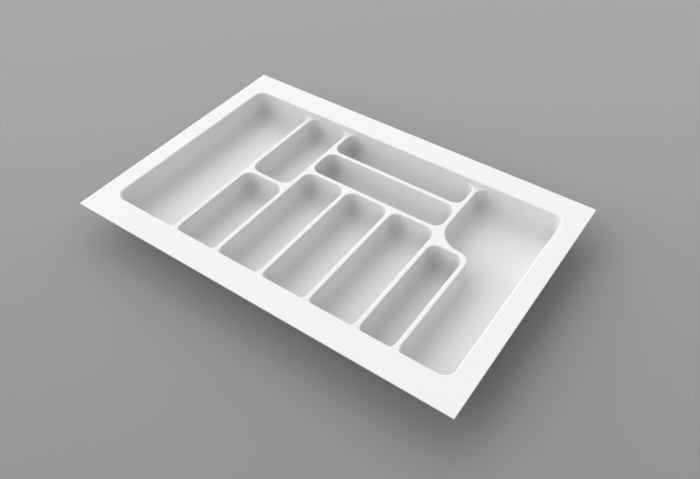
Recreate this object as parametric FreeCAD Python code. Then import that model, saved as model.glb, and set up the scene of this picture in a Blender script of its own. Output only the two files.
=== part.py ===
import FreeCAD, Part
import math
import os
from FreeCAD import Vector

# Drawer tray for cutlery, formed from one plastic sheet: flat rim, ten wells and the ridges between.
# Millimetres, +Z up. The origin is on the surface that the tray stands on, below the middle of the rim.
# +X runs along the long side to the right and +Y runs to the back.

# Sheet and height: the length and the depth follow from the rim, the wells and the ridges
tray_height = 50.0
sheet = 1.8

# Rim: flat border, measured to the sharp edge that the lip rounds off
rim_side_width = 35.0
rim_end_width = 50.0
rim_lip_radius = 4.0

# Dividers: ridges with a flat top, lower than the rim
divider_drop = 10.0
divider_width = 8.0
divider_lip_radius = 3.0
divider_foot_radius = 6.0

# Wells, measured at the height of the divider tops
wall_draft_degrees = 5.0
corner_radius = 18.0
floor_radius = 14.0
left_well_width = 125.75
cutlery_well_width = 84.0
cutlery_columns = 4
front_well_length = 249.25
teaspoon_well_width = 61.0
teaspoon_well_length = 221.0
right_well_width = 87.5
cross_well_width = 61.5
step_corner_radius = 46.0

# Division of the moulding into its named regions
skirt_height = 5.0
rim_cut_inset = 9.0
branch_cut_inset = 1.0

# Small allowances of the construction
flare_low = 0.1
flare_top = 1.0
overrun = 10.0
floor_bend_limit = 0.97

draft = math.tan(math.radians(wall_draft_degrees))
wall_offset = sheet / math.cos(math.radians(wall_draft_degrees))
deck_z = tray_height - divider_drop
skirt_z = deck_z - skirt_height
column_pitch = cutlery_well_width + divider_width
columns_length = cutlery_columns * column_pitch + teaspoon_well_width + divider_width
basin_length = left_well_width + divider_width + columns_length + right_well_width
basin_depth = front_well_length + 2 * (divider_width + cross_well_width)
basin_x = basin_length / 2
basin_y = basin_depth / 2
tray_length = basin_length + 2 * (divider_drop * draft + rim_side_width)
tray_depth = basin_depth + 2 * (divider_drop * draft + rim_end_width)

# Ridge edges at the height of the divider tops, from the right wall towards the left
right_well_x = basin_x - right_well_width
teaspoon_right_x = right_well_x - divider_width
teaspoon_left_x = teaspoon_right_x - teaspoon_well_width
column_left_x = [
    teaspoon_left_x - divider_width - cutlery_well_width - column * column_pitch
    for column in range(cutlery_columns)
]
column_left_x.reverse()
left_well_right_x = column_left_x[0] - divider_width

# Ridge edges from the back wall towards the front
cross_upper_y = basin_y - cross_well_width
cross_lower_back_y = cross_upper_y - divider_width
cross_lower_y = cross_lower_back_y - cross_well_width
front_back_y = cross_lower_y - divider_width
teaspoon_back_y = -basin_y + teaspoon_well_length
step_y = teaspoon_back_y + divider_width
column_middle = divider_width / 2


def corner(x, y, side_x, side_y, radius=corner_radius, turn=1):
    """One corner of a well: place, outward directions, radius, and turn -1 where the wall bends in."""
    return {"x": x, "y": y, "side_x": side_x, "side_y": side_y, "radius": radius, "turn": turn}


def box_corners(x0, y0, x1, y1):
    """Corners of a plain well, counter-clockwise from the front left."""
    return [corner(x0, y0, -1, -1), corner(x1, y0, 1, -1), corner(x1, y1, 1, 1), corner(x0, y1, -1, 1)]


def right_well_corners():
    """Corners of the stepped well: wide at the back, narrow beside the teaspoon well."""
    bend = right_well_x - teaspoon_left_x - step_corner_radius
    return [
        corner(right_well_x, -basin_y, -1, -1),
        corner(basin_x, -basin_y, 1, -1),
        corner(basin_x, basin_y, 1, 1),
        corner(teaspoon_left_x, basin_y, -1, 1),
        corner(teaspoon_left_x, step_y, -1, -1, step_corner_radius),
        corner(right_well_x, step_y, -1, -1, bend, -1),
    ]


def front_wells():
    """Corners of the cutlery wells in front of the cross wells, by name."""
    wells = {}
    for letter, x in zip("abcdefgh", column_left_x[1:]):
        wells["well_front_" + letter] = box_corners(x, -basin_y, x + cutlery_well_width, front_back_y)
    return wells


def all_wells():
    """Corners of every well at the height of the divider tops, by name."""
    left = column_left_x[0]
    cross_left = column_left_x[1]
    cross_right = teaspoon_left_x - divider_width
    wells = {
        "well_left": box_corners(-basin_x, -basin_y, left_well_right_x, basin_y),
        "well_left_front": box_corners(left, -basin_y, left + cutlery_well_width, -column_middle),
        "well_left_back": box_corners(left, column_middle, left + cutlery_well_width, basin_y),
        "well_cross_lower": box_corners(cross_left, cross_lower_y, cross_right, cross_lower_back_y),
        "well_cross_upper": box_corners(cross_left, cross_upper_y, cross_right, basin_y),
        "well_teaspoon": box_corners(teaspoon_left_x, -basin_y, teaspoon_right_x, teaspoon_back_y),
        "well_right": right_well_corners(),
    }
    wells.update(front_wells())
    return wells


def basin_corners():
    """Corners of the opening that the rim surrounds, at the height of the divider tops."""
    return box_corners(-basin_x, -basin_y, basin_x, basin_y)


def moved_corners(corners, grow, flare):
    """Corners pushed outwards by grow, and by flare as well where they lie on the outer wall."""
    moved = []
    for c in corners:
        flare_x = flare if abs(abs(c["x"]) - basin_x) < 1e-6 else 0.0
        flare_y = flare if abs(abs(c["y"]) - basin_y) < 1e-6 else 0.0
        x = c["x"] + c["side_x"] * (grow + flare_x)
        y = c["y"] + c["side_y"] * (grow + flare_y)
        moved.append((x, y, c["radius"] + c["turn"] * grow))
    return moved


def rounded_wire(corners, z):
    """Closed wire of lines and tangent arcs through (x, y, radius) corners at height z."""
    bends = []
    for i, (x, y, radius) in enumerate(corners):
        tip = Vector(x, y, z)
        before = Vector(corners[i - 1][0], corners[i - 1][1], z) - tip
        after = Vector(corners[(i + 1) % len(corners)][0], corners[(i + 1) % len(corners)][1], z) - tip
        before.normalize()
        after.normalize()
        centre = tip + (before + after) * radius
        middle = centre + (tip - centre).normalize() * radius
        bends.append((tip + before * radius, middle, tip + after * radius))
    edges = []
    for i, (start, middle, end) in enumerate(bends):
        edges.append(Part.Arc(start, middle, end).toShape())
        following = bends[(i + 1) % len(bends)][0]
        if end.distanceToPoint(following) > 1e-6:
            edges.append(Part.LineSegment(end, following).toShape())
    return Part.Wire(edges)


def drafted(corners, low_z, high_z, offset=0.0, low_flare=0.0, high_flare=0.0):
    """Tapered solid that fills a well between two heights, grown sideways by offset."""
    low = rounded_wire(moved_corners(corners, (low_z - deck_z) * draft + offset, low_flare), low_z)
    high = rounded_wire(moved_corners(corners, (high_z - deck_z) * draft + offset, high_flare), high_z)
    return Part.makeLoft([low, high], True, True)


def block(x0, y0, z0, x1, y1, z1):
    """Box between two opposite corners."""
    return Part.makeBox(x1 - x0, y1 - y0, z1 - z0, Vector(x0, y0, z0))


def level_edges(shape, z, half_x, half_y):
    """Edges of shape that lie flat at height z inside a rectangle round the middle."""
    found = []
    for edge in shape.Edges:
        box = edge.BoundBox
        inside = max(-box.XMin, box.XMax) < half_x and max(-box.YMin, box.YMax) < half_y
        if inside and abs(box.ZMin - z) < 1e-6 and abs(box.ZMax - z) < 1e-6:
            found.append(edge)
    return found


def foot_edges(shape, low_z, top_z, offset):
    """Edges where the ridges run into the front and back walls."""
    found = []
    for edge in shape.Edges:
        box = edge.BoundBox
        if box.ZMax > top_z + 1e-4 or box.ZMax < low_z + 1e-3:
            continue
        middle = edge.valueAt((edge.FirstParameter + edge.LastParameter) / 2)
        wall_y = basin_y + offset + (middle.z - deck_z) * draft
        if abs(abs(middle.y) - wall_y) < 1e-2:
            found.append(edge)
    return found


def frame_body(depth):
    """Solid below the rim and the ridges, with its faces set back by depth from the upper face."""
    offset = depth / math.cos(math.radians(wall_draft_degrees))
    spread = overrun if depth > 0 else 0.0
    low_z = skirt_z - (overrun if depth > 0 else 0.0)
    top_z = tray_height - depth
    ridge_z = deck_z - depth
    half_x = tray_length / 2 + spread
    half_y = tray_depth / 2 + spread
    rim = block(-half_x, -half_y, low_z, half_x, half_y, top_z)
    rim = rim.cut(drafted(basin_corners(), low_z - overrun, top_z + overrun, offset))
    rim = rim.makeFillet(rim_lip_radius - depth, level_edges(rim, top_z, half_x - 1e-3, half_y - 1e-3))
    slab_x = basin_x + overrun
    slab_y = basin_y + overrun
    web = block(-slab_x, -slab_y, low_z, slab_x, slab_y, ridge_z)
    for corners in all_wells().values():
        web = web.cut(drafted(corners, low_z, ridge_z, offset, flare_low, flare_top))
    web = web.makeFillet(divider_lip_radius - depth, level_edges(web, ridge_z, slab_x - 1e-3, slab_y - 1e-3))
    body = rim.fuse(web).removeSplitter()
    if depth > 0:
        return body
    return body.makeFillet(divider_foot_radius, foot_edges(body, low_z, ridge_z, offset))


def frame_sheet():
    """Sheet of the rim, its collar and the ridge tops, in one piece."""
    return frame_body(0.0).cut(frame_body(sheet))


def well_cup(corners):
    """Walls and floor of one well, up to the skirt of the ridges round it."""
    floor_corner = corner_radius - (deck_z - sheet) * draft
    inner_radius = min(floor_radius, floor_bend_limit * floor_corner)
    outer = drafted(corners, 0.0, skirt_z, wall_offset)
    outer = outer.makeFillet(inner_radius + sheet, level_edges(outer, 0.0, tray_length, tray_depth))
    inner = drafted(corners, sheet, skirt_z + overrun)
    inner = inner.makeFillet(inner_radius, level_edges(inner, sheet, tray_length, tray_depth))
    return outer.cut(inner)


def prism(points):
    """Upright prism over a plan polygon, tall enough to cover the tray."""
    wire = Part.makePolygon([Vector(x, y, -overrun) for x, y in points + points[:1]])
    return Part.Face(wire).extrude(Vector(0, 0, tray_height + 2 * overrun))


def column(x0, y0, x1, y1):
    """Upright box over a plan rectangle, tall enough to cover the tray."""
    return block(x0, y0, -overrun, x1, y1, tray_height + overrun)


def rim_regions():
    """Plan regions of the four rim strips, mitred at the corners, by name."""
    x0, y0 = tray_length / 2, tray_depth / 2
    x1, y1 = basin_x - rim_cut_inset, basin_y - rim_cut_inset
    return {
        "rim_front": prism([(-x0, -y0), (x0, -y0), (x1, -y1), (-x1, -y1)]),
        "rim_right": prism([(x0, -y0), (x0, y0), (x1, y1), (x1, -y1)]),
        "rim_back": prism([(x0, y0), (-x0, y0), (-x1, y1), (x1, y1)]),
        "rim_left": prism([(-x0, y0), (-x0, -y0), (-x1, -y1), (-x1, y1)]),
    }


def cross_regions():
    """Plan regions of the ridges that run from side to side, with their rounded branches, by name."""
    reach = corner_radius + branch_cut_inset
    left_x0 = column_left_x[0] + branch_cut_inset
    left_x1 = column_left_x[0] + cutlery_well_width - branch_cut_inset
    x0 = column_left_x[1] + branch_cut_inset
    x1 = teaspoon_left_x - divider_width - branch_cut_inset
    return {
        "divider_left_cross": column(left_x0, -column_middle - reach, left_x1, column_middle + reach),
        "divider_cross_front": column(x0, front_back_y - reach, x1, cross_lower_y + reach),
        "divider_cross_back": column(x0, cross_lower_back_y - reach, x1, cross_upper_y + reach),
    }


def right_region():
    """Plan region of the ridge round the teaspoon well."""
    y0, y1 = -basin_y + rim_cut_inset, basin_y - rim_cut_inset
    x1 = basin_x - rim_cut_inset
    middle = (teaspoon_left_x + teaspoon_right_x) / 2
    bend_y = teaspoon_back_y - corner_radius - branch_cut_inset
    beside = column(middle, y0, x1, y1)
    behind = column(teaspoon_left_x + branch_cut_inset, bend_y, x1, step_y + step_corner_radius)
    return beside.fuse(behind)


def long_regions():
    """Plan regions of the ridges that run from front to back, by name."""
    y0, y1 = -basin_y + rim_cut_inset, basin_y - rim_cut_inset
    middles = [x + cutlery_well_width / 2 for x in column_left_x]
    regions = {
        "divider_left": column(-basin_x + rim_cut_inset, y0, middles[0], y1),
        "divider_centre_left": column(middles[0], y0, middles[1], y1),
    }
    for letter, start, end in zip("abcdefgh", middles[1:], middles[2:]):
        regions["divider_front_" + letter] = column(start, y0, end, front_back_y)
    last = (teaspoon_left_x + teaspoon_right_x) / 2
    regions["divider_centre_right"] = column(middles[-1], y0, last, y1)
    return regions


def ridge_shapes(frame):
    """Ridge tops cut from the frame sheet, by name."""
    crosses = cross_regions()
    right = right_region()
    shapes = {name: frame.common(region) for name, region in crosses.items()}
    shapes["divider_right"] = frame.common(right)
    taken = list(crosses.values()) + [right]
    for name, region in long_regions().items():
        shapes[name] = frame.common(region.cut(taken))
    return shapes


def all_shapes():
    """Every named region of the tray."""
    frame = frame_sheet()
    shapes = {name: frame.common(region) for name, region in rim_regions().items()}
    shapes.update(ridge_shapes(frame))
    for name, corners in all_wells().items():
        shapes[name] = well_cup(corners)
    return shapes


def main():
    """Write one STEP file per named region."""
    os.makedirs("parts", exist_ok=True)
    for name, shape in all_shapes().items():
        solid = shape.Solids[0] if len(shape.Solids) == 1 else shape
        solid.exportStep("parts/" + name + ".step")


main()
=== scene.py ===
import logging
import math
from abc import ABC, abstractmethod
from collections.abc import Callable, Iterator
from contextlib import contextmanager
from dataclasses import dataclass, field
from enum import Enum

import bmesh
import bpy
from mathutils import Euler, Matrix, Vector


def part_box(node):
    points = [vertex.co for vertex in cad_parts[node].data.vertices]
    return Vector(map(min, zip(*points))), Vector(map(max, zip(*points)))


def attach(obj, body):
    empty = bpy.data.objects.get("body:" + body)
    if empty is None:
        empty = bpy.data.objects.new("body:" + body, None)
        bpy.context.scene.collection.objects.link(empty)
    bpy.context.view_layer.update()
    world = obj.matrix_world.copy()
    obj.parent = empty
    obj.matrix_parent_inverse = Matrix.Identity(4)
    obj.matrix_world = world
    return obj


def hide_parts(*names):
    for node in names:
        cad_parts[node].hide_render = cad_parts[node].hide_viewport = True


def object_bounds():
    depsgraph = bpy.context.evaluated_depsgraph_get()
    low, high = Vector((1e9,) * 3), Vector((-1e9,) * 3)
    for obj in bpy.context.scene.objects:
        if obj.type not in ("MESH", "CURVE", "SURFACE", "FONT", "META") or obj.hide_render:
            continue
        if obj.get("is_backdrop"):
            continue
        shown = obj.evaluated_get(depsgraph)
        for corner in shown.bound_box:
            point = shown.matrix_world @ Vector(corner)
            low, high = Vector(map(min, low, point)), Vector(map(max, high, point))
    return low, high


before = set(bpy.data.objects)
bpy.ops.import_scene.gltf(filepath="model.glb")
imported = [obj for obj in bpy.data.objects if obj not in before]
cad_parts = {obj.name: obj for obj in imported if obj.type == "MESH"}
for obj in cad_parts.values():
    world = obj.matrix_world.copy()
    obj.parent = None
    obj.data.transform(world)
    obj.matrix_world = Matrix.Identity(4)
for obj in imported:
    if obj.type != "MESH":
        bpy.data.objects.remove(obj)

LOG = logging.getLogger("cutlery_tray")
MM = 0.001
TOUCH = 0.01 * MM  # points as near as this are one point
FLAT_ANGLE = math.radians(1)  # faces that bend less than this are one face
SOFT_ANGLE = math.radians(32)  # bends below this are shaded softly
FLAT_WEIGHT = 90  # how firmly large faces hold the shading, of 100
ROUND_PROFILE = 0.5  # profile of a bevel that is a round arc
NOISE_MIDDLE = 0.5  # what a noise is on average
BODY = "root"

Piece = bpy.types.Object
Edge = bmesh.types.BMEdge
EdgeTest = Callable[[Edge], bool]
Socket = bpy.types.NodeSocket
Sockets = dict[str | int, object]
Colour = tuple[float, float, float, float]
Pair = tuple[float, float]


class Bend(Enum):
    """Which way the wall turns at a corner of a well."""

    ROUND_THE_WELL = 1
    INTO_THE_WELL = -1


class Cut(Enum):
    """What a cutting body does to the body that it meets."""

    AWAY = "DIFFERENCE"
    KEEP = "INTERSECT"
    WELD = "UNION"


class Grip(Enum):
    """What is selected on a mesh in edit mode."""

    POINTS = "VERT"
    EDGES = "EDGE"
    FACES = "FACE"


class Bench:
    """Modelling steps on one object at a time, as a maker takes them by hand."""

    @staticmethod
    def clear() -> None:
        """Deselect every object."""
        bpy.ops.object.select_all(action="DESELECT")

    @staticmethod
    def pick(piece: Piece) -> None:
        """Make one object the only selected one and the active one.

        Args:
            piece: The object.
        """
        Bench.clear()
        piece.select_set(True)
        bpy.context.view_layer.objects.active = piece

    @staticmethod
    @contextmanager
    def editing(piece: Piece, grip: Grip = Grip.POINTS) -> Iterator[None]:
        """Hold an object in edit mode, with everything on it selected at first.

        Args:
            piece: The mesh object to edit.
            grip: What is selected on it.
        """
        Bench.pick(piece)
        bpy.ops.object.mode_set(mode="EDIT")
        bpy.ops.mesh.select_mode(type=grip.value)
        bpy.ops.mesh.select_all(action="SELECT")
        yield
        bpy.ops.object.mode_set(mode="OBJECT")

    @staticmethod
    def select_vertex(piece: Piece, x: float, y: float) -> None:
        """Select only the vertex that stands at one place of the plan.

        Args:
            piece: The object that is in edit mode, gripped by its points.
            x: The place along X.
            y: The place along Y.
        """
        bpy.ops.mesh.select_all(action="DESELECT")
        shape = bmesh.from_edit_mesh(piece.data)
        for vertex in shape.verts:
            vertex.select_set(math.hypot(vertex.co.x - x, vertex.co.y - y) < TOUCH)
        shape.select_flush_mode()
        bmesh.update_edit_mesh(piece.data)

    @staticmethod
    def select_edges(piece: Piece, test: EdgeTest) -> None:
        """Select only the edges that pass a test.

        Args:
            piece: The object that is in edit mode, gripped by its edges.
            test: Says whether an edge is wanted.
        """
        bpy.ops.mesh.select_all(action="DESELECT")
        shape = bmesh.from_edit_mesh(piece.data)
        for edge in filter(test, shape.edges):
            edge.select_set(True)
        bmesh.update_edit_mesh(piece.data)

    @staticmethod
    def plane(low: Vector, high: Vector) -> Piece:
        """Add a level plane and size it in edit mode.

        Args:
            low: Front left corner.
            high: Back right corner, at the same height.

        Returns:
            The plane's object, at the origin.
        """
        Bench.clear()
        bpy.ops.mesh.primitive_plane_add(size=1)
        piece = bpy.context.object
        with Bench.editing(piece):
            bpy.ops.transform.resize(value=(high.x - low.x, high.y - low.y, 1))
            bpy.ops.transform.translate(value=(low + high) / 2)
        return piece

    @staticmethod
    def block(low: Vector, high: Vector) -> Piece:
        """Add a box and size it in edit mode.

        Args:
            low: Lower front left corner.
            high: Upper back right corner.

        Returns:
            The box's object, at the origin.
        """
        Bench.clear()
        bpy.ops.mesh.primitive_cube_add(size=1)
        piece = bpy.context.object
        with Bench.editing(piece):
            bpy.ops.transform.resize(value=high - low)
            bpy.ops.transform.translate(value=(low + high) / 2)
        return piece

    @staticmethod
    def join(pieces: list[Piece]) -> Piece:
        """Join several objects.

        Args:
            pieces: The objects, of which all but the last are used up.

        Returns:
            The last object, which now holds them all.
        """
        Bench.clear()
        for piece in pieces:
            piece.select_set(True)
        bpy.context.view_layer.objects.active = pieces[-1]
        bpy.ops.object.join()
        return pieces[-1]

    @staticmethod
    def copy(piece: Piece) -> Piece:
        """Copy an object together with its mesh.

        Args:
            piece: The object.

        Returns:
            The copy.
        """
        Bench.pick(piece)
        bpy.ops.object.duplicate(linked=False)
        return bpy.context.object

    @staticmethod
    def loft(low: Piece, high: Piece) -> Piece:
        """Bridge two level plates with equal numbers of vertices into one closed body.

        Args:
            low: The lower plate, which is used up.
            high: The upper plate, which becomes the body.

        Returns:
            The closed body, with its faces pointing outwards.
        """
        piece = Bench.join([low, high])
        with Bench.editing(piece, Grip.EDGES):
            bpy.ops.mesh.delete(type="ONLY_FACE")
            bpy.ops.mesh.select_all(action="SELECT")
            bpy.ops.mesh.bridge_edge_loops()
            bpy.ops.mesh.select_all(action="DESELECT")
            bpy.ops.mesh.select_non_manifold()
            bpy.ops.mesh.fill_holes(sides=0)
            bpy.ops.mesh.select_all(action="SELECT")
            bpy.ops.mesh.normals_make_consistent(inside=False)
        return piece

    @staticmethod
    def apply(piece: Piece, modifier: bpy.types.Modifier) -> None:
        """Apply one modifier to its object's mesh."""
        Bench.pick(piece)
        bpy.ops.object.modifier_apply(modifier=modifier.name)

    @staticmethod
    def cut(piece: Piece, tool: Piece, how: Cut) -> Piece:
        """Cut or weld a body with another one.

        Args:
            piece: The body that stays.
            tool: The other body, which is used up.
            how: What the other body does to it.

        Returns:
            The body that stays.
        """
        modifier = piece.modifiers.new(how.name.lower(), "BOOLEAN")
        modifier.operation = how.value
        modifier.solver = "EXACT"
        modifier.object = tool
        Bench.apply(piece, modifier)
        bpy.data.objects.remove(tool)
        return piece

    @staticmethod
    def round_edges(piece: Piece, test: EdgeTest, reach: float, steps: int) -> None:
        """Round the edges that pass a test with an arc.

        Args:
            piece: The body.
            test: Says whether an edge is rounded.
            reach: How far from the edge the arc starts.
            steps: How many facets the arc has.
        """
        with Bench.editing(piece, Grip.EDGES):
            Bench.select_edges(piece, test)
            bpy.ops.mesh.bevel(
                offset=reach, offset_type="OFFSET", segments=steps, profile=ROUND_PROFILE, affect="EDGES"
            )

    @staticmethod
    def clean(piece: Piece) -> None:
        """Merge the doubles that the cuts leave and dissolve the faces that have no width.

        Args:
            piece: The body that was cut.
        """
        with Bench.editing(piece):
            bpy.ops.mesh.remove_doubles(threshold=TOUCH)
            bpy.ops.mesh.select_all(action="SELECT")
            bpy.ops.mesh.dissolve_degenerate(threshold=TOUCH)

    @staticmethod
    def smooth(piece: Piece) -> None:
        """Shade softly across small bends, and keep the flat faces flat.

        Args:
            piece: The finished piece.
        """
        Bench.pick(piece)
        bpy.ops.object.shade_smooth_by_angle(angle=SOFT_ANGLE)
        modifier = piece.modifiers.new("flat faces", "WEIGHTED_NORMAL")
        modifier.keep_sharp = True
        modifier.weight = FLAT_WEIGHT
        Bench.apply(piece, modifier)


class FormedPart(ABC):
    """Sub-assembly of the formed sheet, which makes its pieces and dresses them."""

    @abstractmethod
    def build(self) -> dict[str, Piece]:
        """Make the pieces, by the names of their nodes."""

    def dress(self, piece: Piece, node: str, material: bpy.types.Material) -> None:
        """Shade a finished piece, give it its material and let it stand for its node.

        Args:
            piece: The finished piece.
            node: The CAD node that it stands for.
            material: The sheet's material.
        """
        Bench.smooth(piece)
        piece.data.materials.append(material)
        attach(piece, BODY)
        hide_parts(node)


@dataclass(frozen=True)
class Corner:
    """One rounded corner of an outline, with the directions that lead out of the well there."""

    x: float
    y: float
    side_x: int
    side_y: int
    radius: float
    bend: Bend = Bend.ROUND_THE_WELL

    def moved(self, grow: float, flare_x: float, flare_y: float) -> "Corner":
        """Push the corner outwards.

        Args:
            grow: Distance for both walls, which the radius follows.
            flare_x: Further distance for the wall that faces along X.
            flare_y: Further distance for the wall that faces along Y.

        Returns:
            The corner in its new place.
        """
        return Corner(
            self.x + self.side_x * (grow + flare_x),
            self.y + self.side_y * (grow + flare_y),
            self.side_x,
            self.side_y,
            self.radius + self.bend.value * grow,
            self.bend,
        )


@dataclass(frozen=True)
class Outline:
    """Closed outline of a well or of the basin: four corners, or six where it has a step on the left."""

    corners: tuple[Corner, ...]

    @staticmethod
    def box(low: Vector, high: Vector, radius: float) -> "Outline":
        """Make the outline of a plain well.

        Args:
            low: Front left corner.
            high: Back right corner.
            radius: Radius of its four corners.

        Returns:
            The outline.
        """
        return Outline((
            Corner(low.x, low.y, -1, -1, radius),
            Corner(high.x, low.y, 1, -1, radius),
            Corner(high.x, high.y, 1, 1, radius),
            Corner(low.x, high.y, -1, 1, radius),
        ))

    @property
    def front_left(self) -> Corner:
        """First corner, from which the others follow anticlockwise."""
        return self.corners[0]

    @property
    def front_right(self) -> Corner:
        """Second corner."""
        return self.corners[1]

    @property
    def back_right(self) -> Corner:
        """Third corner."""
        return self.corners[2]

    @property
    def back_left(self) -> Corner:
        """Fourth corner."""
        return self.corners[3]

    @property
    def step(self) -> tuple[Corner, ...]:
        """Outer and inner corner of the step, or nothing in a plain outline."""
        return self.corners[4:]

    @property
    def middle_x(self) -> float:
        """Middle of the front end."""
        return (self.front_left.x + self.front_right.x) / 2

    def grown(self, grow: float, flare: float = 0.0, basin: "Outline | None" = None) -> "Outline":
        """Push the outline outwards.

        Args:
            grow: Distance for every wall.
            flare: Further distance for the walls that lie on the basin's wall.
            basin: The outline of the basin, needed only with a flare.

        Returns:
            The grown outline.
        """
        moved = []
        for corner in self.corners:
            on_x = basin is not None and abs(abs(corner.x) - basin.back_right.x) < TOUCH
            on_y = basin is not None and abs(abs(corner.y) - basin.back_right.y) < TOUCH
            moved.append(corner.moved(grow, flare if on_x else 0.0, flare if on_y else 0.0))
        return Outline(tuple(moved))

    def plate(self, z: float, arc_steps: int) -> Piece:
        """Make the outline as a level plate.

        Args:
            z: Height of the plate.
            arc_steps: Edges along each rounded corner.

        Returns:
            The plate's object, one face that points up.
        """
        first, far = self.front_left, self.back_right
        piece = Bench.plane(Vector((first.x, first.y, z)), Vector((far.x, far.y, z)))
        if self.step:
            self._add_step(piece)
        with Bench.editing(piece):
            for corner in self.corners:
                Bench.select_vertex(piece, corner.x, corner.y)
                bpy.ops.mesh.bevel(
                    offset=corner.radius, offset_type="OFFSET", segments=arc_steps,
                    profile=ROUND_PROFILE, affect="VERTICES",
                )
            bpy.ops.mesh.select_all(action="SELECT")
            bpy.ops.mesh.remove_doubles(threshold=TOUCH)
        return piece

    def _add_step(self, piece: Piece) -> None:
        """Widen a plain plate to the left, behind the step.

        Args:
            piece: The plate, as wide as the part in front of the step.
        """
        outer, inner = self.step
        with Bench.editing(piece):
            bpy.ops.mesh.bisect(plane_co=(0, inner.y, 0), plane_no=(0, 1, 0))
        with Bench.editing(piece, Grip.EDGES):
            Bench.select_edges(piece, lambda edge: all(
                abs(vertex.co.x - inner.x) < TOUCH and vertex.co.y > inner.y - TOUCH for vertex in edge.verts
            ))
            bpy.ops.mesh.extrude_region_move(TRANSFORM_OT_translate={"value": (outer.x - inner.x, 0, 0)})
            bpy.ops.mesh.select_all(action="SELECT")
            bpy.ops.mesh.dissolve_limited(angle_limit=FLAT_ANGLE)
            bpy.ops.mesh.normals_make_consistent(inside=False)


@dataclass(frozen=True)
class SheetForm:
    """Sizes of the formed sheet that the boxes of the frame's nodes don't give."""

    thickness: float = 1.8 * MM
    draft: float = math.radians(5.0)
    divider_drop: float = 10.0 * MM
    skirt: float = 5.0 * MM
    corner_radius: float = 18.0 * MM
    step_radius: float = 46.0 * MM
    step_straight: float = 0.5 * MM
    floor_radius: float = 14.0 * MM
    rim_lip_radius: float = 2.2 * MM
    divider_lip_radius: float = 1.6 * MM
    smallest_lip: float = 0.3 * MM
    foot_radius: float = 3.0 * MM
    trimmed_edge: float = 0.35 * MM
    trimmed_steps: int = 2
    corner_steps: int = 12
    lip_steps: int = 6
    floor_steps: int = 10

    @property
    def taper(self) -> float:
        """How far a wall moves sideways for each unit of height."""
        return math.tan(self.draft)

    @property
    def wall_reach(self) -> float:
        """Level thickness of a sloping wall."""
        return self.thickness / math.cos(self.draft)

    def lip_reach(self, radius: float) -> float:
        """Distance from a sharp edge at which a lip of a given radius starts."""
        return max(radius, self.smallest_lip) * math.tan((math.pi / 2 - self.draft) / 2)


@dataclass
class TrayPlan:
    """Plan of the tray, read from the frame."""

    form: SheetForm
    low: Vector
    high: Vector
    wells: dict[str, Outline] = field(default_factory=dict)

    def __post_init__(self) -> None:
        """Read every well, then give the stepped one its step."""
        for name in sorted(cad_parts):
            if name.startswith("well_"):
                low, high = self._well_box(name)
                self.wells[name] = Outline.box(low, high, self.form.corner_radius)
        self.wells["well_right"] = self._stepped()

    def _well_box(self, node: str) -> tuple[Vector, Vector]:
        """Find a well's opening at the height of the ridge tops.

        Args:
            node: The well's node, whose box holds its wall too.

        Returns:
            The front left and the back right corner.
        """
        low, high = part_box(node)
        inset = self.form.wall_reach - self.form.skirt * self.form.taper
        return low + Vector((inset, inset, 0)), high - Vector((inset, inset, 0))

    def _stepped(self) -> Outline:
        """Draw the well that is narrow beside the teaspoon well and wide behind it.

        Returns:
            Its outline, with the step's two corners last.
        """
        plain, beside = self.wells["well_right"], self.wells["well_teaspoon"].back_right
        wide, form = plain.front_left, self.form
        x, y = beside.x + self.ridge_width, beside.y + self.ridge_width
        bend = x - wide.x - form.step_radius - form.step_straight
        return Outline((
            Corner(x, wide.y, -1, -1, form.corner_radius),
            *plain.corners[1:],
            Corner(wide.x, y, -1, -1, form.step_radius),
            Corner(x, y, -1, -1, bend, Bend.INTO_THE_WELL),
        ))

    @property
    def ridge_width(self) -> float:
        """Width of a ridge top between two wells that lie side by side."""
        return self.wells["well_front_b"].front_left.x - self.wells["well_front_a"].front_right.x

    @property
    def basin(self) -> Outline:
        """Outline round all the wells, at the height of the ridge tops."""
        first, far = self.wells["well_left"].front_left, self.wells["well_right"].back_right
        return Outline.box(Vector((first.x, first.y, 0)), Vector((far.x, far.y, 0)), self.form.corner_radius)

    @property
    def deck_z(self) -> float:
        """Height of the ridge tops."""
        return self.high.z - self.form.divider_drop

    @property
    def skirt_z(self) -> float:
        """Height at which the wells' own walls begin."""
        return self.deck_z - self.form.skirt


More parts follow.
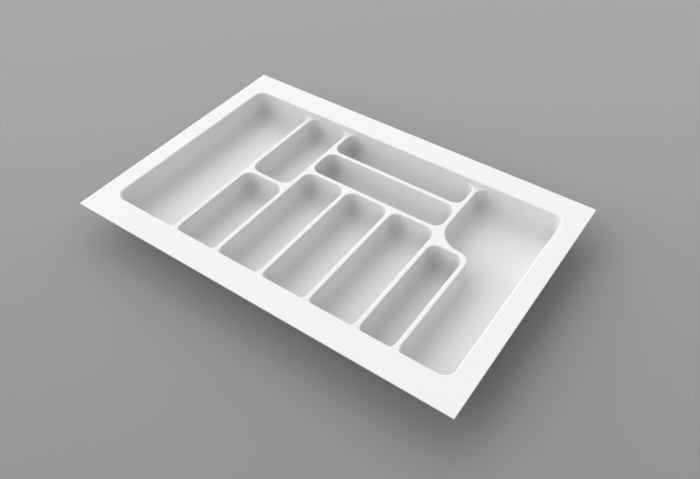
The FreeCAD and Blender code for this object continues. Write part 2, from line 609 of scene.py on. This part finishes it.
@dataclass(frozen=True)
class ShadePainting:
    """Painted shade in the sheet's colour: 0 on the level tops, more on walls, along the bends, in narrow
    wells and in corners, where shade falls.
    """

    # Mesh layer that carries the painted shade.
    layer: str = "painted_shade"
    wall: float = 0.82
    floor_gain: float = 2.22
    floor_start: float = -0.25
    floor_least: float = 0.41
    bend: float = 0.30
    corner: float = 0.62
    corner_end: float = 0.6
    corner_fade: float = 14.0 * MM

    def on_slope(self, rise: float) -> float:
        """Painted shade of a face, from the upright part of its normal."""
        return self.wall * (1 - abs(rise)) ** 2

    def floor(self, depth: float, width: float) -> float:
        """Painted shade on the floor of a well, more where the well is deep for its width."""
        return max(self.floor_least, self.floor_start + self.floor_gain * depth / width)

    def along_bend(self, wall: float, floor: float, part: float) -> float:
        """Painted shade along the bend, from the foot of the wall at part 0 to the floor at part 1, darkest
        in the crease between them.
        """
        return wall + (floor - wall) * part + self.bend * math.sin(math.pi * part)

    def round_corner(self, across: float, along: float) -> float:
        """Share of the further painted shade that a corner has.

        Args:
            across: Distance from the centre of the corner's arc towards one wall.
            along: Distance from it towards the other wall.

        Returns:
            1 in the middle of the arc, less at its ends, and 0 where the fade along the walls is over.
        """
        if across >= 0 and along >= 0:
            return self.corner_end + (1 - self.corner_end) * math.sin(2 * math.atan2(along, across))
        return self.corner_end * max(0.0, 1 + min(across, along) / self.corner_fade)

    def mark_walls(self, piece: Piece) -> None:
        """Note the painted shade on the rim and the ridges, by the steepest face at each vertex.

        Args:
            piece: The formed sheet, before it is cut into its pieces.
        """
        with Bench.editing(piece):
            shape = bmesh.from_edit_mesh(piece.data)
            layer = shape.loops.layers.float.new(self.layer)
            for vertex in shape.verts:
                # Painted shade: the steepest face at a vertex sets how grey the sheet is painted there.
                shade_level = max(self.on_slope(face.normal.z) for face in vertex.link_faces)
                for loop in vertex.link_loops:
                    loop[layer] = shade_level
            bmesh.update_edit_mesh(piece.data)


@dataclass
class Well(FormedPart):
    """Walls and floor of one well below the skirts of the ridges."""

    node: str
    outline: Outline
    plan: TrayPlan
    shade_painting: ShadePainting = field(default_factory=ShadePainting)

    @property
    def foot_z(self) -> float:
        """Height at which the wall ends and the bend into the floor begins."""
        form = self.plan.form
        return form.thickness + form.floor_radius * (1 - math.sin(form.draft))

    @property
    def step_span(self) -> Pair:
        """Stretch along Y over which the well widens.

        Returns:
            Where it begins to widen and where it is wide, or its back end twice in a plain well.
        """
        if not self.outline.step:
            return self.outline.back_right.y, self.outline.back_right.y
        outer, inner = self.outline.step
        return inner.y, outer.y + outer.radius

    def width_at(self, y: float) -> float:
        """Find the well's width, or its length where that is less.

        Args:
            y: A place along the well.

        Returns:
            The width there, at the height of the ridge tops.
        """
        outline = self.outline
        start, end = self.step_span
        front = outline.front_right.x - outline.front_left.x
        back = outline.back_right.x - outline.back_left.x
        share = min(1.0, max(0.0, (y - start) / (end - start))) if end > start else 0.0
        return min(front + (back - front) * share, outline.back_right.y - outline.front_right.y)

    @property
    def tight_corners(self) -> list[Corner]:
        """The corners that have the plain corner radius."""
        return [corner for corner in self.outline.corners if corner.radius == self.plan.form.corner_radius]

    def profile(self) -> list[Pair]:
        """Steps from the skirt down to the floor.

        Returns:
            Inset and drop of each step: the sloping wall first, then the arc into the floor.
        """
        form = self.plan.form
        radius, count = form.floor_radius, form.floor_steps
        turns = [form.draft + (math.pi / 2 - form.draft) * i / count for i in range(count + 1)]
        drop = self.plan.skirt_z - self.foot_z
        steps = [(drop * form.taper, drop)]
        for start, end in zip(turns, turns[1:]):
            inset = radius * (math.cos(start) - math.cos(end))
            steps.append((inset, radius * (math.sin(end) - math.sin(start))))
        return steps

    def shade_painted_at(self, place: Vector) -> float:
        """Painted shade of the sheet at one place.

        Args:
            place: A point of the well's inner face.

        Returns:
            The painted shade by height, with the further painted shade of the nearest corner.
        """
        form, shade_painting = self.plan.form, self.shade_painting
        wall = shade_painting.on_slope(math.sin(form.draft))
        floor = shade_painting.floor(self.plan.deck_z - form.thickness, self.width_at(place.y))
        lowered = min(1.0, max(0.0, 1 - (place.z - form.thickness) / form.floor_radius))
        part = max(0.0, (math.asin(lowered) - form.draft) / (math.pi / 2 - form.draft))
        depth = min(1.0, (self.plan.skirt_z - place.z) / (self.plan.skirt_z - self.foot_z)) - part / 2
        corner = max(
            shade_painting.round_corner(
                (place.x - corner.x) * corner.side_x + corner.radius,
                (place.y - corner.y) * corner.side_y + corner.radius,
            )
            for corner in self.tight_corners
        )
        return shade_painting.along_bend(wall, floor, part) + shade_painting.corner * depth * corner

    def _mark(self, piece: Piece) -> None:
        """Cut the faces where the corners' painted shade fades out, and note the painted shade at each
        vertex.

        Args:
            piece: The cup, formed ring by ring, in edit mode.
        """
        reach = self.plan.form.corner_radius + self.shade_painting.corner_fade
        cuts = {(corner.x - corner.side_x * reach, 0.0, 1, 0) for corner in self.tight_corners}
        cuts |= {(0.0, corner.y - corner.side_y * reach, 0, 1) for corner in self.tight_corners}
        cuts |= {(0.0, y, 0, 1) for y in self.step_span}
        for x, y, along_x, along_y in sorted(cuts):
            bpy.ops.mesh.select_all(action="SELECT")
            bpy.ops.mesh.bisect(plane_co=(x, y, 0), plane_no=(along_x, along_y, 0))
        shape = bmesh.from_edit_mesh(piece.data)
        layer = shape.verts.layers.float.new(self.shade_painting.layer)
        # Painted shade: note how grey the sheet is painted at every vertex of the cup.
        for vertex in shape.verts:
            vertex[layer] = self.shade_painted_at(vertex.co)
        bmesh.update_edit_mesh(piece.data)

    def build(self) -> dict[str, Piece]:
        """Draw the well out of a flat plate, ring by ring, and give the sheet its thickness.

        Returns:
            The finished cup, by its node's name.
        """
        form = self.plan.form
        piece = self.outline.grown(-form.skirt * form.taper).plate(self.plan.skirt_z, form.corner_steps)
        piece.name = self.node + "_cup"
        with Bench.editing(piece, Grip.FACES):
            for inset, drop in self.profile():
                bpy.ops.mesh.inset(thickness=inset, depth=-drop, use_even_offset=True)
            self._mark(piece)
        sheet = piece.modifiers.new("sheet", "SOLIDIFY")
        sheet.thickness = form.thickness
        sheet.offset = -1
        sheet.use_even_offset = True
        Bench.apply(piece, sheet)
        return {self.node: piece}


@dataclass
class FrameBody:
    """Solid under the rim and the ridges, with its faces set back by a depth from the sheet's upper face."""

    plan: TrayPlan
    depth: float
    overrun: float = 10.0 * MM
    flare_low: float = 0.1 * MM
    flare_high: float = 0.5 * MM
    cove_flare: float = 0.15 * MM
    clearance: float = 1.0 * MM
    steep: float = 0.12

    @property
    def reach(self) -> float:
        """Level distance by which the walls are set back."""
        return self.depth / math.cos(self.plan.form.draft)

    @property
    def spread(self) -> float:
        """How far the set-back body runs on below the skirts and past the rim, so that it cuts through."""
        return self.overrun if self.depth > 0 else 0.0

    @property
    def low_z(self) -> float:
        """Height of the lower face."""
        return self.plan.skirt_z - self.spread

    @property
    def deck_z(self) -> float:
        """Height of the body's ridge tops."""
        return self.plan.deck_z - self.depth

    @property
    def cove(self) -> float:
        """Radius of the cove where a ridge top runs up into the basin's wall."""
        return self.plan.form.foot_radius + self.depth

    def tapered(self, outline: Outline, low_z: float, high_z: float, flares: Pair) -> Piece:
        """Make a closed body with sloping walls between two heights.

        Args:
            outline: Its outline at the height of the ridge tops, before it is set back.
            low_z: Height of its lower face.
            high_z: Height of its upper face.
            flares: Further width on the basin's wall, at the lower and the upper face.

        Returns:
            The tapered body.
        """
        form, basin = self.plan.form, self.plan.basin
        plates = []
        for z, flare in zip((low_z, high_z), flares):
            grow = (z - self.plan.deck_z) * form.taper + self.reach
            plates.append(outline.grown(grow, flare, basin).plate(z, form.corner_steps))
        return Bench.loft(*plates)

    def rim(self) -> Piece:
        """Make the flat flange with its opening and the lip round the opening.

        Returns:
            The closed body.
        """
        form, low, high = self.plan.form, self.plan.low, self.plan.high
        top = high.z - self.depth
        margin = Vector((self.spread, self.spread, 0))
        front_left, back_right = Vector((low.x, low.y, self.low_z)), Vector((high.x, high.y, top))
        piece = Bench.block(front_left - margin, back_right + margin)
        hole = self.tapered(self.plan.basin, self.low_z - self.overrun, top + self.overrun, (0.0, 0.0))
        Bench.cut(piece, hole, Cut.AWAY)
        lip = form.lip_reach(form.rim_lip_radius - self.depth)
        Bench.round_edges(
            piece, lambda edge: self._sharp(edge, top) and self._inside(edge), lip, form.lip_steps
        )
        if self.depth == 0:
            Bench.round_edges(
                piece, lambda edge: self._sharp(edge, top) and not self._inside(edge),
                form.trimmed_edge, form.trimmed_steps,
            )
        return piece

    def _sharp(self, edge: Edge, z: float) -> bool:
        """Whether an edge is a sharp one that lies at one height."""
        level = all(abs(vertex.co.z - z) < TOUCH for vertex in edge.verts)
        return level and edge.calc_face_angle(0.0) > self.plan.form.draft

    def _inside(self, edge: Edge) -> bool:
        """Whether an edge keeps clear of the outer sides of the flange."""
        far = self.plan.high - Vector((self.clearance, self.clearance, 0))
        return all(abs(vertex.co.x) < far.x and abs(vertex.co.y) < far.y for vertex in edge.verts)

    def ridges(self) -> Piece:
        """Make the ridge net: a slab with a cove along its ends, cut by the wells, with lips round the cuts.

        Returns:
            The closed body.
        """
        form, basin = self.plan.form, self.plan.basin
        far = basin.back_right
        top = self.deck_z + self.cove
        side = Vector((far.x + self.overrun, far.y + self.overrun, 0))
        piece = Bench.block(Vector((0, 0, self.low_z)) - side, Vector((0, 0, top)) + side)
        scoop = self.tapered(basin, self.deck_z, top + self.overrun, (self.cove_flare, self.cove_flare))
        reach = form.lip_reach(self.cove)
        Bench.round_edges(scoop, lambda edge: self._sharp(edge, self.deck_z), reach, form.lip_steps)
        Bench.cut(piece, scoop, Cut.AWAY)
        flares = (self.flare_low, self.flare_high)
        cutters = [
            self.tapered(outline, self.low_z - self.clearance, top + self.clearance, flares)
            for outline in self.plan.wells.values()
        ]
        Bench.cut(piece, Bench.join(cutters), Cut.AWAY)
        lip = form.lip_reach(form.divider_lip_radius - self.depth)
        Bench.round_edges(piece, self._at_ridge_lip, lip, form.lip_steps)
        return piece

    def _at_ridge_lip(self, edge: Edge) -> bool:
        """Tell the upper edge of a well, along a ridge top or up its cove.

        Args:
            edge: An edge of the ridge net.

        Returns:
            Whether it is such an edge.
        """
        if not edge.is_manifold or not edge.is_convex:
            return False
        slopes = sorted(face.normal.z for face in edge.link_faces)
        far = self.plan.basin.back_right
        inside = all(
            abs(vertex.co.x) < far.x + self.overrun - TOUCH
            and abs(vertex.co.y) < far.y + self.overrun - TOUCH
            and vertex.co.z > self.deck_z - TOUCH
            for vertex in edge.verts
        )
        below_top = any(vertex.co.z < self.deck_z + self.cove - TOUCH for vertex in edge.verts)
        return inside and below_top and abs(slopes[0]) < self.steep < slopes[1]

    def build(self) -> Piece:
        """Weld the rim and the ridges into one closed body."""
        return Bench.cut(self.rim(), self.ridges(), Cut.WELD)


@dataclass(frozen=True)
class Region:
    """Upright block of the plan that marks off one named piece of the rim or of the ridges."""

    node: str
    points: tuple[Pair, ...]

    @staticmethod
    def box(node: str, low_x: float, low_y: float, high_x: float, high_y: float) -> "Region":
        """Region with straight sides along X and Y."""
        return Region(node, ((low_x, low_y), (high_x, low_y), (high_x, high_y), (low_x, high_y)))

    def prism(self, low_z: float, high_z: float) -> Piece:
        """Make the region as a body: a plane with its four corners pulled into place, then raised.

        Args:
            low_z: Height of the lower face.
            high_z: Height of the upper face.

        Returns:
            The closed body.
        """
        first, far = self.points[0], self.points[2]
        piece = Bench.plane(Vector((*first, low_z)), Vector((*far, low_z)))
        straight = Region.box(self.node, *first, *far)
        with Bench.editing(piece):
            for start, end in zip(straight.points, self.points):
                Bench.select_vertex(piece, *start)
                bpy.ops.transform.translate(value=(end[0] - start[0], end[1] - start[1], 0))
            bpy.ops.mesh.select_all(action="SELECT")
            bpy.ops.mesh.extrude_region_move(TRANSFORM_OT_translate={"value": (0, 0, high_z - low_z)})
            bpy.ops.mesh.select_all(action="SELECT")
            bpy.ops.mesh.normals_make_consistent(inside=False)
        return piece


@dataclass
class RimAndRidges(FormedPart):
    """Everything above the skirts: four lengths of the rim and nine ridges, cut from one formed sheet."""

    plan: TrayPlan
    rim_inset: float = 9.0 * MM
    branch_inset: float = 1.0 * MM
    mitre_overrun: float = 1.2
    shade_painting: ShadePainting = field(default_factory=ShadePainting)

    def regions(self) -> list[Region]:
        """Mark off the named pieces in the order in which they are cut off."""
        return self._rims() + self._branches() + self._long_ridges()

    def _inner(self) -> Pair:
        """Half length and half width of the line along which the rims are cut off."""
        far = self.plan.basin.back_right
        return far.x - self.rim_inset, far.y - self.rim_inset

    def _rims(self) -> list[Region]:
        """Mark off the four lengths of the rim.

        Returns:
            Their regions, mitred at the corners.
        """
        x, y = self._inner()
        far_x = x + (self.plan.high.x - x) * self.mitre_overrun
        far_y = y + (self.plan.high.y - y) * self.mitre_overrun
        return [
            Region("rim_front", ((-far_x, -far_y), (far_x, -far_y), (x, -y), (-x, -y))),
            Region("rim_back", ((-x, y), (x, y), (far_x, far_y), (-far_x, far_y))),
            Region("rim_left", ((-far_x, -far_y), (-x, -y), (-x, y), (-far_x, far_y))),
            Region("rim_right", ((x, -y), (far_x, -far_y), (far_x, far_y), (x, y))),
        ]

    @property
    def _flare(self) -> float:
        """How far a ridge that branches off takes in the rounded corners at its ends."""
        return self.plan.form.corner_radius + self.branch_inset

    def _across(self, node: str, along: Outline, front: Outline, back: Outline) -> Region:
        """Mark off a ridge that runs across.

        Args:
            node: The ridge's node.
            along: The well that is as long as the ridge.
            front: A well in front of the ridge.
            back: A well behind it.

        Returns:
            Its region, with the flares at its ends.
        """
        low_x, high_x = along.front_left.x + self.branch_inset, along.front_right.x - self.branch_inset
        low_y, high_y = front.back_right.y - self._flare, back.front_left.y + self._flare
        return Region.box(node, low_x, low_y, high_x, high_y)

    def _branches(self) -> list[Region]:
        """Mark off the ridges that run across and the ridge round the stepped well.

        Returns:
            Their regions, of which the ridge round the stepped well has two.
        """
        wells = self.plan.wells
        lower, spoon = wells["well_cross_lower"], wells["well_teaspoon"]
        near_left, step = wells["well_left_front"], wells["well_right"].step[0]
        low_x, low_y = spoon.front_left.x + self.branch_inset, spoon.back_right.y - self._flare
        x, y = self._inner()
        return [
            self._across("divider_left_cross", near_left, near_left, wells["well_left_back"]),
            self._across("divider_cross_front", lower, wells["well_front_a"], lower),
            self._across("divider_cross_back", lower, lower, wells["well_cross_upper"]),
            Region.box("divider_right", spoon.middle_x, -y, x, y),
            Region.box("divider_right", low_x, low_y, spoon.middle_x, step.y + step.radius),
        ]

    def _long_ridges(self) -> list[Region]:
        """Mark off the ridges that run from front to back.

        Returns:
            Their regions, each of which ends in the middle of the well on the ridge's right.
        """
        wells_on_the_right = {
            "divider_left": "well_left_front",
            "divider_centre_left": "well_front_a",
            "divider_front_a": "well_front_b",
            "divider_front_b": "well_front_c",
            "divider_centre_right": "well_teaspoon",
        }
        x, y = self._inner()
        low_x, regions = -x, []
        for node, well in wells_on_the_right.items():
            high_x = self.plan.wells[well].middle_x
            regions.append(Region.box(node, low_x, -y, high_x, y))
            low_x = high_x
        return regions

    def build(self) -> dict[str, Piece]:
        """Form the sheet and cut it into its named pieces.

        Returns:
            One object for each node, by the node's name.
        """
        form = self.plan.form
        outside, inside = FrameBody(self.plan, 0.0), FrameBody(self.plan, form.thickness)
        sheet = Bench.cut(outside.build(), inside.build(), Cut.AWAY)
        self.shade_painting.mark_walls(sheet)
        low_z, high_z = self.plan.skirt_z - form.skirt, self.plan.high.z + form.skirt
        pieces: dict[str, Piece] = {}
        for region in self.regions():
            piece = Bench.cut(Bench.copy(sheet), region.prism(low_z, high_z), Cut.KEEP)
            Bench.cut(sheet, region.prism(low_z, high_z), Cut.AWAY)
            if region.node in pieces:
                Bench.cut(piece, pieces[region.node], Cut.WELD)
            Bench.clean(piece)
            pieces[region.node] = piece
            piece.name = region.node + "_sheet"
        bpy.data.objects.remove(sheet)
        return pieces


class Value:
    """A number that varies over a surface: its operators add Math nodes."""

    def __init__(self, graph: "Graph", socket: Socket) -> None:
        """Wrap one output socket of a graph."""
        self.graph = graph
        self.socket = socket

    def __add__(self, other: "Value | float") -> "Value":
        """Sum."""
        return self.graph.math("ADD", self, other)

    __radd__ = __add__

    def __mul__(self, other: "Value | float") -> "Value":
        """Product."""
        return self.graph.math("MULTIPLY", self, other)

    __rmul__ = __mul__

    def __sub__(self, other: "Value | float") -> "Value":
        """Difference."""
        return self.graph.math("SUBTRACT", self, other)

    def __rsub__(self, other: "Value | float") -> "Value":
        """Difference from a number."""
        return self.graph.math("SUBTRACT", other, self)

    def ramp(self, low: float, high: float) -> "Value":
        """Add a soft step.

        Args:
            low: The value up to which it is 0.
            high: The value from which it is 1.

        Returns:
            The step.
        """
        sockets = {"Value": self, "From Min": low, "From Max": high}
        node = self.graph.node("ShaderNodeMapRange", {"interpolation_type": "SMOOTHSTEP"}, sockets)
        return Value(self.graph, node.outputs["Result"])


class Graph:
    """Node tree of one material or of the world, emptied and filled from code."""

    def __init__(self, tree: bpy.types.NodeTree) -> None:
        """Empty a node tree."""
        self.tree = tree
        self.tree.nodes.clear()

    def node(
        self, kind: str, settings: dict[str, object] | None = None, sockets: Sockets | None = None
    ) -> bpy.types.Node:
        """Add a node.

        Args:
            kind: The node's type.
            settings: Properties of the node, which are set before its sockets.
            sockets: Constants, values or output sockets for its inputs, by name or number.

        Returns:
            The new node.
        """
        node = self.tree.nodes.new(kind)
        for key, setting in (settings or {}).items():
            setattr(node, key, setting)
        for key, source in (sockets or {}).items():
            if isinstance(source, Value):
                source = source.socket
            if isinstance(source, Socket):
                self.tree.links.new(source, node.inputs[key])
            else:
                node.inputs[key].default_value = source
        return node

    def math(self, operation: str, *terms: Value | float) -> Value:
        """Add a Math node over numbers and values."""
        node = self.node("ShaderNodeMath", {"operation": operation}, dict(enumerate(terms)))
        return Value(self, node.outputs["Value"])

    def place(self) -> Socket:
        """Place on the object, in metres."""
        return self.node("ShaderNodeTexCoord").outputs["Object"]

    def noise(
        self, grain: float, detail: float, stretch: tuple[float, float, float] = (1, 1, 1), turn: float = 0.0
    ) -> Value:
        """Add a noise over the object.

        Args:
            grain: Size of its grains, in metres.
            detail: How many finer layers it has.
            stretch: Factors of the grain's size along the three axes.
            turn: Turn of those axes about Z, in radians.

        Returns:
            The noise, about 0 to 1.
        """
        mapping = {"vector_type": "POINT"}
        scale = tuple(1 / (grain * factor) for factor in stretch)
        turned = self.node("ShaderNodeMapping", mapping, {"Vector": self.place(), "Rotation": (0, 0, turn)})
        sized = self.node("ShaderNodeMapping", mapping, {"Vector": turned.outputs["Vector"], "Scale": scale})
        sockets = {"Vector": sized.outputs["Vector"], "Scale": 1.0, "Detail": detail}
        node = self.node("ShaderNodeTexNoise", {"noise_dimensions": "3D"}, sockets)
        return Value(self, node.outputs[0])

    def height(self) -> Value:
        """Height of a place above the object's underside."""
        node = self.node("ShaderNodeSeparateXYZ", None, {0: self.place()})
        return Value(self, node.outputs["Z"])

    def attribute(self, name: str) -> Value:
        """Number that the mesh itself carries, 0 where it carries none."""
        node = self.node("ShaderNodeAttribute", {"attribute_type": "GEOMETRY", "attribute_name": name})
        return Value(self, node.outputs["Fac"])

    def mix(self, factor: Value, first: object, second: object) -> Socket:
        """Blend two colours.

        Args:
            factor: The share of the second colour.
            first: The first colour.
            second: The second colour.

        Returns:
            The blend.
        """
        # A Mix node has inputs for each type of data: 6 and 7 and output 2 are those for colours.
        settings = {"data_type": "RGBA", "clamp_factor": False}
        return self.node("ShaderNodeMix", settings, {0: factor, 6: first, 7: second}).outputs[2]

    def bump(self, height: Value, distance: float, strength: float, under: Socket | None = None) -> Socket:
        """Add a bump.

        Args:
            height: The pattern.
            distance: How high it is, in metres.
            strength: How much of it shows, 0 to 1.
            under: The bump that it lies on, if any.

        Returns:
            The bumped normal.
        """
        sockets: Sockets = {"Height": height, "Distance": distance, "Strength": strength}
        if under is not None:
            sockets["Normal"] = under
        return self.node("ShaderNodeBump", None, sockets).outputs["Normal"]

    def surface(self, sockets: Sockets) -> None:
        """Finish the tree with one surface shader."""
        shader = self.node("ShaderNodeBsdfPrincipled", None, sockets)
        self.node("ShaderNodeOutputMaterial", None, {"Surface": shader.outputs["BSDF"]})


@dataclass(frozen=True)
class SheetFinish:
    """White plastic sheet, out of which the wells are formed, with a fine matt grain and painted shade that
    makes it greyer on walls, bends, corners and narrow wells.
    """

    unshaded: Colour = (0.88, 0.88, 0.88, 1.0)
    # Colour where the painted shade is strongest.
    painted_shade: Colour = (0.68, 0.68, 0.68, 1.0)
    mottle_size: float = 60.0 * MM
    mottle_detail: float = 3.0
    mottle_depth: float = 0.03
    grain_size: float = 0.7 * MM
    grain_detail: float = 3.0
    grain_depth: float = 0.03 * MM
    ripple_size: float = 22.0 * MM
    ripple_detail: float = 1.0
    ripple_depth: float = 0.12 * MM
    bump_strength: float = 0.5
    roughness: float = 0.58
    roughness_spread: float = 0.16
    rubbed: float = 0.10
    rubbed_patches: Pair = (0.35, 0.75)
    rubbed_drop: float = 0.5 * MM
    scratch_size: float = 0.5 * MM
    scratch_detail: float = 2.0
    scratch_stretch: float = 60.0
    scratch_turn: float = math.radians(8)
    scratch_limits: Pair = (0.62, 0.72)
    scratch_patches: Pair = (0.4, 0.7)
    refraction: float = 1.49

    def material(self, plan: TrayPlan) -> bpy.types.Material:
        """Make the material.

        Args:
            plan: The tray's plan, for the heights of the ridge tops and the floors.

        Returns:
            The finished material.
        """
        material = bpy.data.materials.new("white_sheet_grained")
        material.use_nodes = True
        graph = Graph(material.node_tree)
        height = graph.height()
        mottle = graph.noise(self.mottle_size, self.mottle_detail)
        grain = graph.noise(self.grain_size, self.grain_detail)
        ripple = graph.noise(self.ripple_size, self.ripple_detail)
        stretch = (1, self.scratch_stretch, 1)
        scratch = graph.noise(self.scratch_size, self.scratch_detail, stretch, self.scratch_turn)
        shade_level = graph.attribute(ShadePainting.layer)
        floor = 1 - height.ramp(plan.form.thickness, 2 * plan.form.thickness)
        top = height.ramp(plan.deck_z - self.rubbed_drop, plan.deck_z)
        scuff = scratch.ramp(*self.scratch_limits) * floor * mottle.ramp(*self.scratch_patches)
        # Painted shade: the white goes towards the grey colour by the mesh's shade layer, with a random
        # mottle added.
        colour = graph.mix(shade_level + (mottle - NOISE_MIDDLE) * self.mottle_depth, self.unshaded, self.painted_shade)
        rough = (
            (grain - NOISE_MIDDLE) * self.roughness_spread + (mottle - NOISE_MIDDLE) * self.roughness_spread
            + self.roughness - top * mottle.ramp(*self.rubbed_patches) * self.rubbed - scuff * self.rubbed
        )
        wavy = graph.bump(ripple, self.ripple_depth, self.bump_strength)
        normal = graph.bump(grain, self.grain_depth, self.bump_strength, wavy)
        graph.surface({"Base Color": colour, "Roughness": rough, "Normal": normal, "IOR": self.refraction})
        return material


@dataclass(frozen=True)
class FloorFinish:
    """Plain pale paper under the tray, with painted shade that makes it a little darker towards the camera.
    """

    far: Colour = (0.36, 0.36, 0.362, 1.0)
    # Paper colour at the end nearest the camera, darker as painted shade.
    near: Colour = (0.27, 0.27, 0.272, 1.0)
    far_at: float = 0.7
    near_at: float = -0.9
    roughness: float = 0.9

    def material(self, away: Vector) -> bpy.types.Material:
        """Make the paper.

        Args:
            away: Level direction that leads away from the camera.

        Returns:
            The finished material.
        """
        material = bpy.data.materials.new("pale_paper")
        material.use_nodes = True
        graph = Graph(material.node_tree)
        sockets = {0: graph.place(), 1: away}
        along = graph.node("ShaderNodeVectorMath", {"operation": "DOT_PRODUCT"}, sockets)
        # Painted shade: the paper darkens towards the camera.
        near = 1 - Value(graph, along.outputs["Value"]).ramp(self.near_at, self.far_at)
        graph.surface({"Base Color": graph.mix(near, self.far, self.near), "Roughness": self.roughness})
        return material


@dataclass(frozen=True)
class Lamp:
    """One wide, soft lamp far away: its level is the light that falls on a level white sheet."""

    name: str
    azimuth: float
    elevation: float
    level: float
    spread: float = math.radians(60)

    def build(self) -> None:
        """Hang the lamp, so that it shines towards the tray."""
        sun = bpy.data.lights.new(self.name, "SUN")
        sun.angle = self.spread
        sun.energy = self.level * math.pi / math.sin(self.elevation)
        holder = bpy.data.objects.new(self.name, sun)
        bpy.context.scene.collection.objects.link(holder)
        reach, rise = math.cos(self.elevation), math.sin(self.elevation)
        out = Vector((math.cos(self.azimuth) * reach, math.sin(self.azimuth) * reach, rise))
        holder.rotation_euler = out.to_track_quat("Z", "Y").to_euler()


@dataclass
class Studio:
    """Floor, light and camera."""

    sky_level: float = 0.44
    sky: Colour = (1.0, 1.0, 1.0, 1.0)
    backdrop: Colour = (0.42, 0.42, 0.422, 1.0)
    floor_size: float = 12.0
    camera_place: tuple[float, float, float] = (0.54317, -0.73509, 0.88409)
    camera_turn: tuple[float, float, float] = (45.0045, 0.0366, 35.0081)
    lens: float = 37.381
    sensor: float = 36.0
    nearest: float = 0.01
    lamp_height: float = math.radians(25)
    levels: tuple[tuple[int, float], ...] = (
        (90, 0.072), (135, 0.174), (180, 0.128), (225, 0.143), (315, 0.039)
    )

    def build(self) -> None:
        """Set the camera, the floor, the lamps and the sky."""
        self._camera()
        self._floor()
        for azimuth, level in self.levels:
            Lamp(f"lamp_{azimuth}", math.radians(azimuth), self.lamp_height, level).build()
        self._sky()
        bpy.context.scene.view_settings.view_transform = "Standard"

    def _camera(self) -> None:
        """Stand the camera where the photograph was taken from."""
        data = bpy.data.cameras.new("camera")
        data.lens, data.sensor_width, data.clip_start = self.lens, self.sensor, self.nearest
        data.dof.use_dof = False
        holder = bpy.data.objects.new("camera", data)
        holder.location = self.camera_place
        holder.rotation_euler = Euler([math.radians(angle) for angle in self.camera_turn], "XYZ")
        bpy.context.scene.collection.objects.link(holder)
        bpy.context.scene.camera = holder

    def _floor(self) -> None:
        """Lay the paper on which the tray stands."""
        half = self.floor_size / 2
        floor = Bench.plane(Vector((-half, -half, 0)), Vector((half, half, 0)))
        floor.name = "paper"
        away = Vector((-self.camera_place[0], -self.camera_place[1], 0)).normalized()
        floor.data.materials.append(FloorFinish().material(away))
        floor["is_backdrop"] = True

    def _sky(self) -> None:
        """Light the scene evenly from all round, and show a plain backdrop."""
        world = bpy.data.worlds.new("studio")
        world.use_nodes = True
        bpy.context.scene.world = world
        graph = Graph(world.node_tree)
        rays = graph.node("ShaderNodeLightPath").outputs
        seen = (
            Value(graph, rays["Is Camera Ray"]) + Value(graph, rays["Is Glossy Ray"])
            + Value(graph, rays["Is Transmission Ray"])
        )
        shown = graph.node("ShaderNodeBackground", None, {"Color": self.backdrop, "Strength": 1.0})
        light = graph.node("ShaderNodeBackground", None, {"Color": self.sky, "Strength": self.sky_level})
        both = graph.node("ShaderNodeMixShader", None, {0: seen, 1: light.outputs[0], 2: shown.outputs[0]})
        graph.node("ShaderNodeOutputWorld", None, {"Surface": both.outputs[0]})


def main() -> None:
    """Build, dress and report every piece of the tray, then set up the studio."""
    logging.basicConfig(level=logging.INFO, format="%(message)s")
    low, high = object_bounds()
    plan = TrayPlan(SheetForm(), low, high)
    material = SheetFinish().material(plan)
    parts: list[FormedPart] = [RimAndRidges(plan)]
    parts += [Well(node, outline, plan) for node, outline in plan.wells.items()]
    for part in parts:
        for node, piece in part.build().items():
            part.dress(piece, node, material)
            LOG.info("%s: %d faces", piece.name, len(piece.data.polygons))
    Studio().build()


if __name__ == "__main__":
    main()
